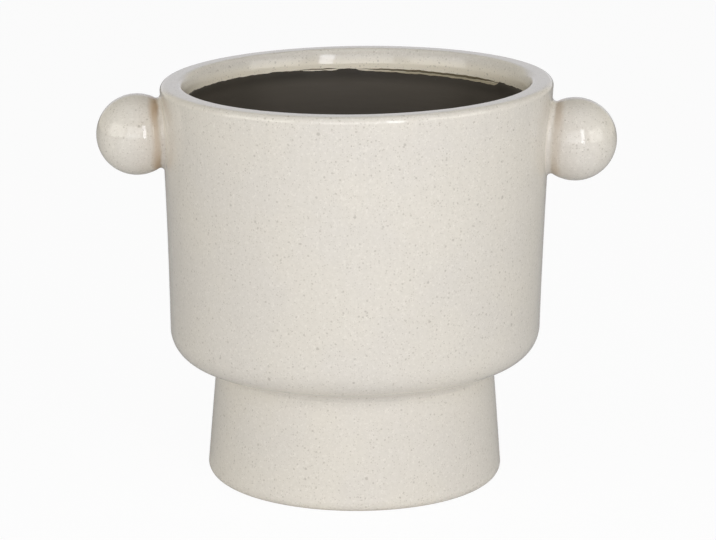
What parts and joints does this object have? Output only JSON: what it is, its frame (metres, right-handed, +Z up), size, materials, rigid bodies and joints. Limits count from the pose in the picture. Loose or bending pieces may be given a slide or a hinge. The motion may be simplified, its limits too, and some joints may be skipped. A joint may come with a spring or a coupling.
{
  "type": "cachepot",
  "caption": "Glazed stoneware cachepot: straight round bowl with a thick rim on a narrower flared foot, ball knobs at the sides, sealed inside to hold a plant in its pot.",
  "frame": {"origin": "middle of the base, on the surface that the foot stands on", "axes": "+Z up, +X to the right knob, -Y to the front as pictured"},
  "size_m": [0.2632, 0.1995, 0.2078],
  "materials": {
    "glaze": "glossy cream glaze with fine grey-brown speckles",
    "seal_coat": "matte dark brushed sealing coat"
  },
  "bodies": {
    "root": {"bowl": "glaze", "foot": "glaze", "waist_coil": "glaze", "foot_coil": "glaze", "left_knob": "glaze", "right_knob": "glaze", "left_collar": "glaze", "right_collar": "glaze", "inner_coat": "seal_coat"}
  },
  "joints": []
}
